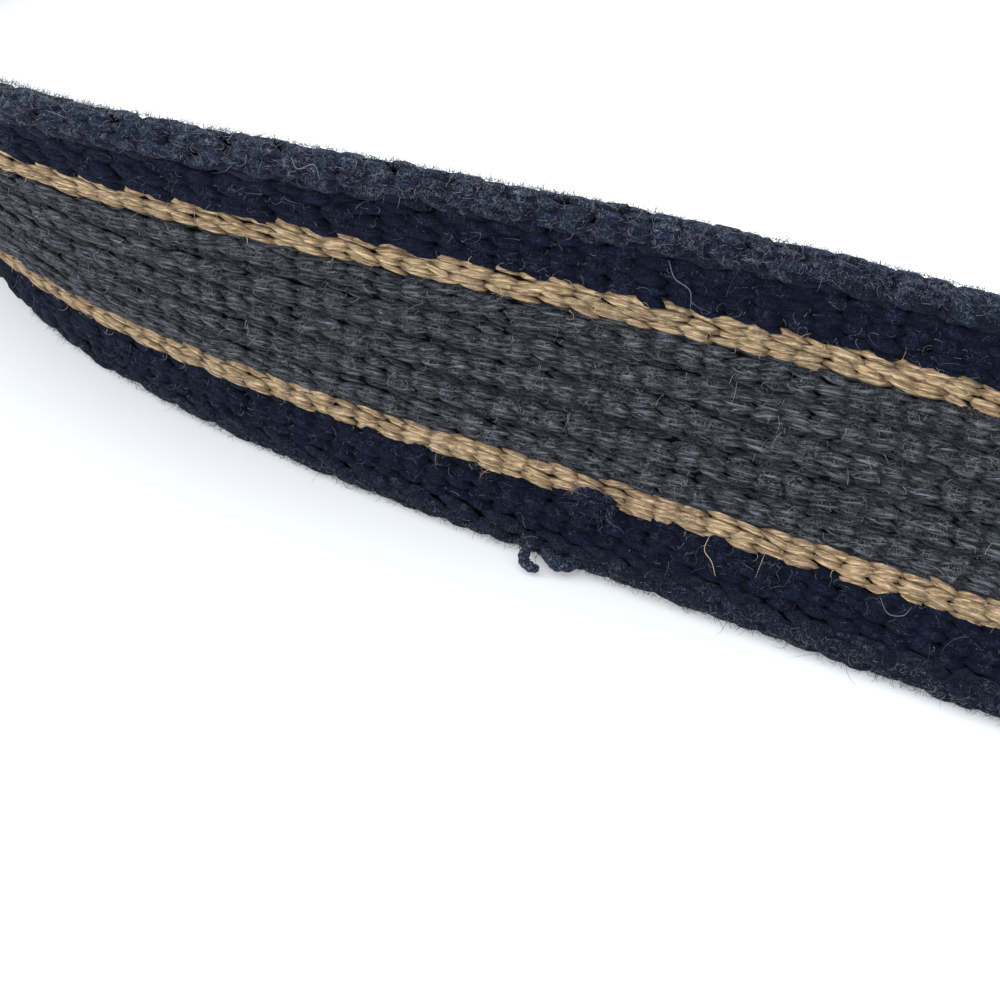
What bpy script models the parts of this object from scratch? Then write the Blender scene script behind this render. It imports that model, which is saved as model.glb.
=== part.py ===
"""A canvas web belt, fastened to a closed loop that stands on its lower edge.

The webbing is one long woven strap: nine lengthwise ribs with grooves between them, and a rolled
edge on either side. It starts inside a plain sleeve buckle at the back of the loop, goes once
round the waist, passes through the buckle over its own start, and its free end lies along the
outside. The front of the loop is the middle of the side that faces -Y.
"""
import math
from collections import namedtuple

import bmesh
import bpy
from mathutils import Vector

# Webbing, across its width
WEB_WIDTH = 0.038
EDGE_ROLL = 0.0040
NAVY_RIB = 0.0041
TAN_RIB = 0.0024
GREY_RIBS = 5
RIB_THICKNESS = 0.0037
GROOVE_DEPTH = 0.0005

# Loop, once round the waist, and the free end that lies past the buckle
LOOP_LENGTH = 0.914
TAIL_LENGTH = 0.120
LAYER_GAP = 0.0005

# Buckle, a flat sleeve that is open at both ends
BUCKLE_LENGTH = 0.040
BUCKLE_WALL = 0.0012
BUCKLE_CLEARANCE = 0.0004
BUCKLE_CORNER = 0.0009
START_PAST_MIDDLE = 0.008

# Stretches over which the strap steps out over its own start, and rises into the buckle
STEP_OUT_LENGTH = 0.050
RISE_LENGTH = 0.030

# Fineness of the faceted shapes
STATION_SPACING = 0.0152
PATH_SAMPLES = 4000
ROLL_SEGMENTS = 7
CORNER_SEGMENTS = 3
RIB_SHOULDER = 0.3
SHARP_ANGLE = math.radians(50)
MERGE_DISTANCE = 0.00001

# How sharply the loop bends from the middle of its front or back, 0, to the middle of its side,
# 1: straight at first, a bend, a flatter stretch and then a round end. Only the ratios between
# the strengths matter, because a quarter of the loop always turns through a right angle.
Bend = namedtuple("Bend", "place strength")
BENDS = (
    Bend(0.0, 0.0),
    Bend(0.0875, 0.0),
    Bend(0.4220, 1.0),
    Bend(0.4635, 1.0),
    Bend(0.5510, 0.3),
    Bend(0.6825, 0.3),
    Bend(0.9450, 1.6),
    Bend(1.0, 1.6),
)

# How far the top of the strap leans in (positive) or out, going round to the right from the
# front's middle. A place is a share of the whole way round.
Lean = namedtuple("Lean", "place degrees")
LEANS = (
    Lean(-0.2872, 0.0),
    Lean(-0.2064, -12.0),
    Lean(-0.1310, -25.0),
    Lean(-0.0933, -16.2),
    Lean(-0.0547, -0.7),
    Lean(-0.0162, 14.0),
    Lean(0.0220, 28.2),
    Lean(0.0655, 27.0),
    Lean(0.1310, 17.0),
    Lean(0.2405, 0.0),
)

STRAP_FINISH = {"colour": (0.085, 0.090, 0.110), "roughness": 0.95, "metallic": 0.0}
BUCKLE_FINISH = {"colour": (0.46, 0.46, 0.47), "roughness": 0.35, "metallic": 1.0}

# Sizes that follow from those above
ROLL_RADIUS = EDGE_ROLL / 2
GREY_RIB = (WEB_WIDTH - 2 * (EDGE_ROLL + NAVY_RIB + TAN_RIB)) / GREY_RIBS
RIB_WIDTHS = (NAVY_RIB, TAN_RIB) + GREY_RIBS * (GREY_RIB,) + (TAN_RIB, NAVY_RIB)
LAYER_THICKNESS = max(EDGE_ROLL, RIB_THICKNESS)
LAYER_STEP = LAYER_THICKNESS + LAYER_GAP
MEAN_BEND = sum(
    (beyond.place - before.place) * (before.strength + beyond.strength) / 2
    for before, beyond in zip(BENDS, BENDS[1:])
)
BUCKLE_RISE = BUCKLE_WALL + BUCKLE_CLEARANCE


def clear_scene():
    """Remove whatever the scene holds."""
    for old in list(bpy.data.objects):
        bpy.data.objects.remove(old, do_unlink=True)


def finish(name, colour, roughness, metallic):
    """A plain material of one colour."""
    material = bpy.data.materials.new(name)
    material.use_nodes = True
    shader = material.node_tree.nodes["Principled BSDF"]
    shader.inputs["Base Color"].default_value = (*colour, 1.0)
    shader.inputs["Roughness"].default_value = roughness
    shader.inputs["Metallic"].default_value = metallic
    return material


def smooth_step(share):
    """Ease from 0 to 1 as share goes from 0 to 1."""
    share = min(max(share, 0.0), 1.0)
    return share * share * (3 - 2 * share)


def curvature(place):
    """How sharply the loop bends at a distance along it from the front's middle."""
    quarter = LOOP_LENGTH / 4
    to_side = 1 - abs(place % (LOOP_LENGTH / 2) - quarter) / quarter
    after = next(index for index in range(1, len(BENDS)) if BENDS[index].place >= to_side)
    low, high = BENDS[after - 1], BENDS[after]
    share = (to_side - low.place) / (high.place - low.place)
    strength = low.strength + share * (high.strength - low.strength)
    return math.pi / 2 / quarter * strength / MEAN_BEND


def loop_samples():
    """Points and outward directions once round the loop, from the back's middle."""
    step = LOOP_LENGTH / PATH_SAMPLES
    half = LOOP_LENGTH / 2
    heading = -math.pi
    point = Vector((0.0, 0.0, 0.0))
    samples = []
    for index in range(PATH_SAMPLES + 1):
        place = -half + index * step
        outward = Vector((math.sin(heading), -math.cos(heading), 0.0))
        samples.append((point.copy(), outward))
        turn = curvature(place + step / 2) * step
        middle = heading + turn / 2
        point += step * Vector((math.cos(middle), math.sin(middle), 0.0))
        heading += turn
    return samples


def lean_slope(index):
    """Degrees of lean gained for one whole way round, at a row of the lean table."""
    if index in (0, len(LEANS) - 1):
        return 0.0
    before, beyond = LEANS[index - 1], LEANS[index + 1]
    return (beyond.degrees - before.degrees) / (beyond.place - before.place)


def lean_at(place):
    """The lean in radians, smooth through the rows of the lean table."""
    share = place / LOOP_LENGTH
    share -= round(share)
    if share <= LEANS[0].place or share >= LEANS[-1].place:
        return 0.0
    after = next(index for index, row in enumerate(LEANS) if row.place > share)
    low, high = LEANS[after - 1], LEANS[after]
    span = high.place - low.place
    u = (share - low.place) / span
    degrees = (
        (2 * u**3 - 3 * u**2 + 1) * low.degrees
        + (u**3 - 2 * u**2 + u) * span * lean_slope(after - 1)
        + (3 * u**2 - 2 * u**3) * high.degrees
        + (u**3 - u**2) * span * lean_slope(after)
    )
    return math.radians(degrees)


def rise_at(place):
    """How far the strap is lifted off the surface, to clear the floor of the buckle."""
    from_back = LOOP_LENGTH / 2 - abs(place - LOOP_LENGTH * round(place / LOOP_LENGTH))
    beyond_mouth = from_back - BUCKLE_LENGTH / 2
    return BUCKLE_RISE * smooth_step(1 - beyond_mouth / RISE_LENGTH)


def layer_at(place):
    """Which layer the strap lies in: 0 next to the waist, 1 over its own start."""
    mouth = LOOP_LENGTH / 2 - BUCKLE_LENGTH / 2
    return smooth_step(1 - (mouth - place) / STEP_OUT_LENGTH)


def strap_places():
    """Distances along the loop for the strap's sections, the same ones on every turn."""
    half = LOOP_LENGTH / 2
    spacing = LOOP_LENGTH / (4 * round(LOOP_LENGTH / STATION_SPACING / 4))
    start = -half - START_PAST_MIDDLE
    end = half + BUCKLE_LENGTH / 2 + TAIL_LENGTH
    mouths = [side * half + way * BUCKLE_LENGTH / 2 for side, way in ((-1, 1), (1, -1), (1, 1))]
    fixed = [start, *mouths, end]
    steps = range(math.floor(start / spacing), math.ceil(end / spacing) + 1)
    even = [step * spacing for step in steps if start < step * spacing < end]
    clear = [place for place in even if min(abs(place - stop) for stop in fixed) > spacing / 3]
    return sorted(fixed + clear)


def path_point(samples, place):
    """The lower edge roll's centre at a place, on its layer and at its height."""
    turns = place / LOOP_LENGTH + 0.5
    position = (turns - math.floor(turns)) * PATH_SAMPLES
    index = min(int(position), PATH_SAMPLES - 1)
    share = position - index
    point = samples[index][0].lerp(samples[index + 1][0], share)
    outward = samples[index][1].lerp(samples[index + 1][1], share).normalized()
    point = point + outward * LAYER_STEP * layer_at(place)
    point.z = ROLL_RADIUS + rise_at(place)
    return point


def rib_outline(side):
    """Crowns and grooves of one face, from the lower roll to the upper: (depth, height)."""
    crown = side * RIB_THICKNESS / 2
    groove = side * (RIB_THICKNESS / 2 - GROOVE_DEPTH)
    height = EDGE_ROLL - ROLL_RADIUS
    points = [(groove, height)]
    for width in RIB_WIDTHS:
        points.append((crown, height + RIB_SHOULDER * width))
        points.append((crown, height + (1 - RIB_SHOULDER) * width))
        height += width
        points.append((groove, height))
    return points


def roll_outline(height, facing):
    """The round of one edge roll, without the two groove points that it starts and ends at."""
    groove = RIB_THICKNESS / 2 - GROOVE_DEPTH
    opening = math.asin(groove / ROLL_RADIUS)
    points = []
    for index in range(ROLL_SEGMENTS):
        angle = opening + (index + 0.5) * (2 * math.pi - 2 * opening) / ROLL_SEGMENTS
        depth = ROLL_RADIUS * math.sin(angle)
        points.append((depth, height + facing * ROLL_RADIUS * math.cos(angle)))
    return points


def strap_section():
    """The strap's outline round the lower roll's centre: depth outward, height up the width."""
    top_roll = WEB_WIDTH - EDGE_ROLL
    outer = rib_outline(1)
    inner = rib_outline(-1)
    lower = roll_outline(0.0, 1)
    upper = roll_outline(top_roll, -1)
    return outer + upper + inner[::-1] + lower[::-1]


def make_profile(guides):
    """The strap's section as a flat closed curve, for the path to sweep."""
    points = strap_section()
    data = bpy.data.curves.new("strap_profile", "CURVE")
    data.dimensions = "2D"
    spline = data.splines.new("POLY")
    spline.points.add(len(points) - 1)
    for control, (depth, height) in zip(spline.points, points):
        control.co = (depth, height, 0.0, 1.0)
    spline.use_cyclic_u = True
    profile = bpy.data.objects.new("strap_profile", data)
    profile.hide_render = True
    profile.display_type = "WIRE"
    guides.objects.link(profile)
    return profile


def make_strap(belt, guides):
    """The webbing, swept along its path with its lean as tilt."""
    samples = loop_samples()
    places = strap_places()
    profile = make_profile(guides)
    data = bpy.data.curves.new("strap_path", "CURVE")
    data.dimensions = "3D"
    data.twist_mode = "Z_UP"
    data.bevel_mode = "OBJECT"
    data.bevel_object = profile
    data.use_fill_caps = True
    spline = data.splines.new("POLY")
    spline.points.add(len(places) - 1)
    for control, place in zip(spline.points, places):
        control.co = (*path_point(samples, place), 1.0)
        control.tilt = -lean_at(place)
    path = bpy.data.objects.new("strap_path", data)
    guides.objects.link(path)
    bpy.context.view_layer.update()

    evaluated = path.evaluated_get(bpy.context.evaluated_depsgraph_get())
    mesh = bpy.data.meshes.new_from_object(evaluated)
    mesh.name = "strap"
    shell = bmesh.new()
    shell.from_mesh(mesh)
    bmesh.ops.remove_doubles(shell, verts=shell.verts, dist=MERGE_DISTANCE)
    bmesh.ops.recalc_face_normals(shell, faces=shell.faces)
    shell.to_mesh(mesh)
    shell.free()
    mesh.shade_smooth()
    mesh.set_sharp_from_angle(angle=SHARP_ANGLE)
    mesh.materials.clear()
    mesh.materials.append(finish("strap", **STRAP_FINISH))
    strap = bpy.data.objects.new("strap", mesh)
    belt.objects.link(strap)
    bpy.data.objects.remove(path, do_unlink=True)
    bpy.data.objects.remove(profile, do_unlink=True)
    return strap


def add_box(name, size, centre, collection):
    """A box of a given size, centred at a place."""
    mesh = bpy.data.meshes.new(name)
    shell = bmesh.new()
    bmesh.ops.create_cube(shell, size=1.0)
    bmesh.ops.scale(shell, vec=size, verts=shell.verts)
    bmesh.ops.translate(shell, vec=centre, verts=shell.verts)
    shell.to_mesh(mesh)
    shell.free()
    box = bpy.data.objects.new(name, mesh)
    collection.objects.link(box)
    return box


def make_buckle(belt, guides):
    """The sleeve that both layers of the strap pass through, its lower wall on the surface."""
    depth = LAYER_STEP + LAYER_THICKNESS + 2 * BUCKLE_CLEARANCE
    height = WEB_WIDTH + 2 * BUCKLE_CLEARANCE
    middle = Vector((0.0, LAYER_STEP / 2, BUCKLE_WALL + height / 2))
    outer = (BUCKLE_LENGTH, depth + 2 * BUCKLE_WALL, height + 2 * BUCKLE_WALL)
    buckle = add_box("buckle", outer, middle, belt)
    buckle.data.materials.append(finish("buckle", **BUCKLE_FINISH))

    rounding = buckle.modifiers.new("corners", "BEVEL")
    rounding.width = BUCKLE_CORNER
    rounding.segments = CORNER_SEGMENTS
    rounding.limit_method = "ANGLE"

    passage = add_box("buckle_passage", (2 * BUCKLE_LENGTH, depth, height), middle, guides)
    passage.display_type = "WIRE"
    passage.hide_render = True
    cut = buckle.modifiers.new("passage", "BOOLEAN")
    cut.operation = "DIFFERENCE"
    cut.solver = "EXACT"
    cut.object = passage
    buckle.data.shade_smooth()
    buckle.data.set_sharp_from_angle(angle=SHARP_ANGLE)
    return buckle


def centre_on_origin(strap, buckle):
    """Stand the belt with the middle of its box over the origin."""
    corners = [vertex.co for vertex in strap.data.vertices]
    corners += [Vector(corner) for corner in buckle.bound_box]
    low = [min(corner[axis] for corner in corners) for axis in range(2)]
    high = [max(corner[axis] for corner in corners) for axis in range(2)]
    stand = bpy.data.objects.new("belt", None)
    stand.location = (-(low[0] + high[0]) / 2, -(low[1] + high[1]) / 2, 0.0)
    return stand


def make_belt():
    """Build the whole belt in a collection of its own."""
    clear_scene()
    belt = bpy.data.collections.new("web_belt")
    guides = bpy.data.collections.new("guides")
    bpy.context.scene.collection.children.link(belt)
    bpy.context.scene.collection.children.link(guides)
    strap = make_strap(belt, guides)
    buckle = make_buckle(belt, guides)
    stand = centre_on_origin(strap, buckle)
    belt.objects.link(stand)
    strap.parent = stand
    buckle.parent = stand
    for guide in guides.objects:
        guide.parent = stand
    bpy.context.view_layer.update()


make_belt()
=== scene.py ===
"""The looks of a striped canvas web belt that stands on its lower edge as a fastened loop.

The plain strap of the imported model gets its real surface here: a dark core, and over it the
weave, thousands of lens-shaped stitches of twisted yarn in eleven lengthwise ribs, with loose
fibres on the edges and faces. Everything is first modelled flat, as a straight band, and then
laid along the strap's path. Lengths are in metres.
"""
from __future__ import annotations

import logging
import math
from dataclasses import dataclass, field
from enum import Enum
from typing import NamedTuple

import bpy
import numpy as np
from mathutils import Matrix, Vector

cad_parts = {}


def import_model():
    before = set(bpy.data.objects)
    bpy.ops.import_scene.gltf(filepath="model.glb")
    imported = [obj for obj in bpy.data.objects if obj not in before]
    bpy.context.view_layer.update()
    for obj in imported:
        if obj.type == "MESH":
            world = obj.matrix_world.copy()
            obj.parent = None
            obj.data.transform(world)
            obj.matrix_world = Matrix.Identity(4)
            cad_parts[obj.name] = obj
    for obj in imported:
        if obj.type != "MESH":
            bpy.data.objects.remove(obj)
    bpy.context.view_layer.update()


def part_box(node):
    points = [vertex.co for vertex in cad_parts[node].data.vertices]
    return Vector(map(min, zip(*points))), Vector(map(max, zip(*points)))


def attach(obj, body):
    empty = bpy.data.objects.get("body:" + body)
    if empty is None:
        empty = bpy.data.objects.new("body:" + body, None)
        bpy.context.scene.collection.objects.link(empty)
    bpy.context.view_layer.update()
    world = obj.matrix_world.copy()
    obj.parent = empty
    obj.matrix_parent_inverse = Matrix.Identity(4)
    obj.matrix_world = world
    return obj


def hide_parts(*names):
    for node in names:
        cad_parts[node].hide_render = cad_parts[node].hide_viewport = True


LOG = logging.getLogger("web_belt")
BODY = "root"
STRAP_NODE = "strap"
BUCKLE_NODE = "buckle"
EDGE_ROLL = 0.0040
BUCKLE_WALL = 0.0012
NEAR_STRETCH = (-0.098, 0.036)


class Dye(Enum):
    """The colours that the yarn is dyed in."""

    NAVY = "navy"
    TAN = "tan"
    GREY = "grey"
    EDGE = "edge"


class Detail(Enum):
    """How finely a stitch is modelled, as (segments round it, rings along it)."""

    NEAR = (8, 5)
    FAR = (3, 3)


class Side(Enum):
    """Which part of the strap's surface a row of stitches lies on."""

    OUTER = "outer"
    INNER = "inner"
    ROLL = "roll"


class Lean(NamedTuple):
    """How far the strap leans in at a place, a share of the way round from the front's middle."""

    place: float
    degrees: float


class Bend(NamedTuple):
    """How sharply the loop bends at a place, a share of the way from its middle to its side."""

    place: float
    strength: float


class Row(NamedTuple):
    """One lengthwise row of stitches, seen in the strap's section."""

    height: float
    depth: float
    facing: float
    spacing: float
    dye: Dye
    side: Side
    step: float = 1.0
    # border is the strength of the painted groove shade on the row, signed by the side of its rib that
    # the groove lies on
    border: float = 0.0


def deselect_all() -> None:
    """Leave object mode's selection empty."""
    bpy.ops.object.select_all(action="DESELECT")


def select_only(piece: bpy.types.Object) -> None:
    """Make a piece the only selected and the active one."""
    deselect_all()
    piece.select_set(True)
    bpy.context.view_layer.objects.active = piece


def apply_modifier(piece: bpy.types.Object, kind: str, **settings: object) -> None:
    """Give a piece one modifier and apply it.

    Args:
        piece: the mesh object.
        kind: the modifier's type.
        **settings: values for the modifier's properties.
    """
    select_only(piece)
    modifier = piece.modifiers.new(kind.lower(), kind)
    for name, value in settings.items():
        setattr(modifier, name, value)
    bpy.ops.object.modifier_apply(modifier=modifier.name)


def cut_rod(rings: int) -> None:
    """Lift a new rod of unit length onto the origin and cut it into even rings, in edit mode."""
    bpy.ops.object.mode_set(mode="EDIT")
    bpy.ops.mesh.select_all(action="SELECT")
    bpy.ops.transform.translate(value=(0, 0, 0.5))
    for cut in range(1, rings):
        bpy.ops.mesh.select_all(action="SELECT")
        bpy.ops.mesh.bisect(plane_co=(0, 0, cut / rings), plane_no=(0, 0, 1))


def close_ends() -> None:
    """In edit mode, fill a tube's open ends and point its faces outward."""
    bpy.ops.mesh.select_all(action="DESELECT")
    bpy.ops.mesh.select_non_manifold()
    bpy.ops.mesh.edge_face_add()
    bpy.ops.mesh.select_all(action="SELECT")
    bpy.ops.mesh.normals_make_consistent(inside=False)


def name_piece(piece: bpy.types.Object, name: str, material: bpy.types.Material) -> None:
    """Name a finished piece and dress it in one material."""
    piece.name = piece.data.name = name
    piece.data.materials.clear()
    piece.data.materials.append(material)


def read_points(piece: bpy.types.Object) -> np.ndarray:
    """A mesh's points as an array of rows x, y, z."""
    points = np.zeros(len(piece.data.vertices) * 3)
    piece.data.vertices.foreach_get("co", points)
    return points.reshape(-1, 3)


def write_points(piece: bpy.types.Object, points: np.ndarray) -> None:
    """Move a mesh's points to the rows of an array."""
    piece.data.vertices.foreach_set("co", points.reshape(-1))
    piece.data.update()


def write_attribute(piece: bpy.types.Object, name: str, values: np.ndarray) -> None:
    """Store one number for each point of a mesh."""
    attribute = piece.data.attributes.new(name, "FLOAT", "POINT")
    attribute.data.foreach_set("value", values.astype(np.float32).reshape(-1))


def smooth_step(share: np.ndarray) -> np.ndarray:
    """Ease from 0 to 1 as the share goes from 0 to 1."""
    share = np.clip(share, 0.0, 1.0)
    return share * share * (3 - 2 * share)


@dataclass
class StrapPath:
    """Where the strap runs: round the loop, in layers, with its height and its lean.

    The ground is the lowest that any point of it may lie.
    """

    ground: float = 0.00002
    edge_roll: float = EDGE_ROLL
    length: float = 0.914
    tail_length: float = 0.120
    layer_gap: float = 0.0005
    buckle_length: float = 0.040
    buckle_wall: float = BUCKLE_WALL
    buckle_clearance: float = 0.0004
    start_past_middle: float = 0.008
    step_out_length: float = 0.050
    rise_length: float = 0.030
    sample_count: int = 4000
    bends: tuple[Bend, ...] = (
        Bend(0.0, 0.0),
        Bend(0.0875, 0.0),
        Bend(0.4220, 1.0),
        Bend(0.4635, 1.0),
        Bend(0.5510, 0.3),
        Bend(0.6825, 0.3),
        Bend(0.9450, 1.6),
        Bend(1.0, 1.6),
    )
    leans: tuple[Lean, ...] = (
        Lean(-0.2872, 0.0),
        Lean(-0.2064, -12.0),
        Lean(-0.1310, -25.0),
        Lean(-0.0933, -16.2),
        Lean(-0.0547, -0.7),
        Lean(-0.0162, 14.0),
        Lean(0.0220, 28.2),
        Lean(0.0655, 27.0),
        Lean(0.1310, 17.0),
        Lean(0.2405, 0.0),
    )

    def __post_init__(self) -> None:
        """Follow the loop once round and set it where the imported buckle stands."""
        self.layer_step = self.edge_roll + self.layer_gap
        self.half = self.length / 2
        self.start = -self.half - self.start_past_middle
        self.end = self.half + self.buckle_length / 2 + self.tail_length
        step = self.length / self.sample_count
        places = -self.half + step * np.arange(self.sample_count + 1)
        turns = self.curvature(places[:-1] + step / 2) * step
        headings = -math.pi + np.concatenate([[0.0], np.cumsum(turns)])
        middles = headings[:-1] + turns / 2
        walk = np.stack([np.cos(middles), np.sin(middles)], 1) * step
        points = np.concatenate([[[0.0, 0.0]], np.cumsum(walk, 0)])
        low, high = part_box(BUCKLE_NODE)
        middle = (low + high) / 2
        self.places = places
        self.points = points + [middle.x, middle.y - self.layer_step / 2]
        self.headings = headings

    def curvature(self, place: np.ndarray) -> np.ndarray:
        """How sharply the loop bends, which brings it round once in all.

        Args:
            place: distances along the loop from the front's middle.

        Returns:
            The turn per metre at each of them.
        """
        quarter = self.length / 4
        to_side = 1 - np.abs(np.mod(place, self.length / 2) - quarter) / quarter
        places = np.array([row.place for row in self.bends])
        strengths = np.array([row.strength for row in self.bends])
        mean = np.sum(np.diff(places) * (strengths[1:] + strengths[:-1]) / 2)
        return math.pi / 2 / quarter * np.interp(to_side, places, strengths) / mean

    def lean(self, place: np.ndarray) -> np.ndarray:
        """The lean in radians, smooth through the rows of the lean table.

        Args:
            place: distances along the loop from the front's middle.

        Returns:
            The lean at each of them, inward where it is positive.
        """
        share = place / self.length
        share = share - np.round(share)
        rows = np.array([row.place for row in self.leans])
        degrees = np.array([row.degrees for row in self.leans])
        slopes = np.zeros(len(rows))
        slopes[1:-1] = (degrees[2:] - degrees[:-2]) / (rows[2:] - rows[:-2])
        low = np.clip(np.searchsorted(rows, share) - 1, 0, len(rows) - 2)
        span = rows[low + 1] - rows[low]
        u = np.clip((share - rows[low]) / span, 0.0, 1.0)
        value = (2 * u**3 - 3 * u**2 + 1) * degrees[low]
        value += (u**3 - 2 * u**2 + u) * span * slopes[low]
        value += (3 * u**2 - 2 * u**3) * degrees[low + 1]
        value += (u**3 - u**2) * span * slopes[low + 1]
        return np.radians(value)

    def rise(self, place: np.ndarray) -> np.ndarray:
        """How far the strap is lifted, to clear the floor of the buckle."""
        from_back = self.half - np.abs(place - self.length * np.round(place / self.length))
        beyond_mouth = from_back - self.buckle_length / 2
        full = self.buckle_wall + self.buckle_clearance
        return full * smooth_step(1 - beyond_mouth / self.rise_length)

    def layer(self, place: np.ndarray) -> np.ndarray:
        """Which layer the strap lies in: 0 next to the waist, 1 over its own start."""
        mouth = self.half - self.buckle_length / 2
        return smooth_step(1 - (mouth - place) / self.step_out_length)

    def lay(self, flat: np.ndarray) -> np.ndarray:
        """Lay points of the flat band along the strap's path.

        Args:
            flat: rows of place along the path, height up the width and depth outward.

        Returns:
            The points in the belt's own frame.
        """
        place, height, depth = flat[:, 0], flat[:, 1], flat[:, 2]
        wrapped = place - self.length * np.floor((place + self.half) / self.length)
        x = np.interp(wrapped, self.places, self.points[:, 0])
        y = np.interp(wrapped, self.places, self.points[:, 1])
        heading = np.interp(wrapped, self.places, self.headings)
        out_x, out_y = np.sin(heading), -np.cos(heading)
        lean = self.lean(place)
        radius = self.edge_roll / 2
        up_width = height - radius
        outward = self.layer_step * self.layer(place)
        outward = outward - up_width * np.sin(lean) + depth * np.cos(lean)
        upward = radius + self.rise(place) + up_width * np.cos(lean) + depth * np.sin(lean)
        level = np.maximum(upward, self.ground)
        return np.stack([x + out_x * outward, y + out_y * outward, level], 1)


@dataclass
class WebSection:
    """The strap across its width: rolled edges, ribs and the rows of stitches on each."""

    web_width: float = 0.038
    edge_roll: float = EDGE_ROLL
    navy_rib: float = 0.0041
    tan_rib: float = 0.0024
    grey_ribs: int = 5
    half_thickness: float = 0.00185
    tan_steps: tuple[float, ...] = (0.4, 1.0, 1.0, 0.7)
    rib_crown: float = 0.00055
    grey_crown: float = 0.00090
    stitch_sink: float = 0.00046
    rows_to_navy: int = 4
    rows_to_tan: int = 4
    rows_to_grey: int = 5
    rows_to_inner_grey: int = 3
    rows_to_roll: int = 9
    roll_reach: float = math.radians(34)
    roll_overlap: float = 1.3
    # painted shade: how dark the whole lower roll is painted, as it faces the floor in shade
    low_roll_shade: float = 0.95
    rib_tilt: float = math.radians(14)
    groove_sink: float = 0.00015
    # how the painted groove shade fades from a rib's border rows toward its middle
    border_from: float = 0.8
    border_fade: int = 4
    spreads: dict[Dye, float] = field(default_factory=lambda: {Dye.TAN: 1.07})
    steps: dict[Dye, float] = field(default_factory=lambda: {Dye.GREY: 0.9, Dye.NAVY: 1.1})

    def ribs(self, side: Side) -> list[tuple[float, int, Dye]]:
        """Width, rows and dye of each rib between the rolls, from the lower edge up."""
        grey_rows = self.rows_to_grey if side is Side.OUTER else self.rows_to_inner_grey
        edges = self.edge_roll + self.navy_rib + self.tan_rib
        grey = (self.web_width - 2 * edges) / self.grey_ribs
        navy = (self.navy_rib, self.rows_to_navy, Dye.NAVY)
        tan = (self.tan_rib, self.rows_to_tan, Dye.TAN)
        middle = [(grey, grey_rows, Dye.GREY)] * self.grey_ribs
        return [navy, tan, *middle, tan, navy]

    def face_rows(self, side: Side) -> list[Row]:
        """The rows of stitches on the ribs of one face.

        Args:
            side: which face.

        Returns:
            The rows from the lower edge up, and then the two in the grooves by the rolls.
        """
        sign = 1 if side is Side.OUTER else -1
        turned = 0.0 if side is Side.OUTER else math.pi
        rows = []
        height = self.edge_roll
        for width, count, dye in self.ribs(side):
            spread = self.spreads.get(dye, 1.0)
            spacing = width / count * spread
            for index in range(count):
                across = 2 * (index + 0.5) / count - 1
                crown = self.grey_crown if dye is Dye.GREY else self.rib_crown
                depth = self.half_thickness - self.stitch_sink - crown * across**2
                facing = turned + sign * self.rib_tilt * across
                place = height + width * (across * spread**2 + 1) / 2
                step = self.tan_steps[index] if dye is Dye.TAN else self.steps.get(dye, 1.0)
                # painted groove shade: rows near a rib's border are darkened
                near_border = min(1.0, (across / self.border_from) ** self.border_fade)
                border = math.copysign(near_border, across)
                rows.append(Row(place, sign * depth, facing, spacing, dye, side, step, border))
            height += width
        sunk = sign * (self.half_thickness - self.stitch_sink - self.groove_sink)
        spacing = self.navy_rib / self.rows_to_navy
        for groove in (self.edge_roll, self.web_width - self.edge_roll):
            rows.append(Row(groove, sunk, turned, spacing, Dye.NAVY, side))
        return rows

    def roll_rows(self, height: float, outward: int) -> list[Row]:
        """The rows of stitches round one edge roll.

        Args:
            height: the roll's centre.
            outward: 1 for the upper roll, -1 for the lower one.

        Returns:
            The rows in their order round it.
        """
        radius = self.edge_roll / 2 - self.stitch_sink
        sweep = math.pi + 2 * self.roll_reach
        spacing = radius * sweep / (self.rows_to_roll - 1) * self.roll_overlap
        rows = []
        for index in range(self.rows_to_roll):
            angle = outward * (-self.roll_reach + sweep * index / (self.rows_to_roll - 1))
            place = height + radius * math.sin(angle)
            # painted shade: the lower roll is darkened all round, and the outermost rows that turn into
            # the grooves are darkened fully
            border = self.low_roll_shade * (outward < 0)
            if index in (0, self.rows_to_roll - 1):
                border = 1.0
            depth = radius * math.cos(angle)
            rows.append(Row(place, depth, angle, spacing, Dye.EDGE, Side.ROLL, 1.0, border))
        return rows

    def rows(self) -> list[Row]:
        """Every row of stitches round the strap."""
        radius = self.edge_roll / 2
        rolls = self.roll_rows(radius, -1) + self.roll_rows(self.web_width - radius, 1)
        return rolls + self.face_rows(Side.OUTER) + self.face_rows(Side.INNER)


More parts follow.
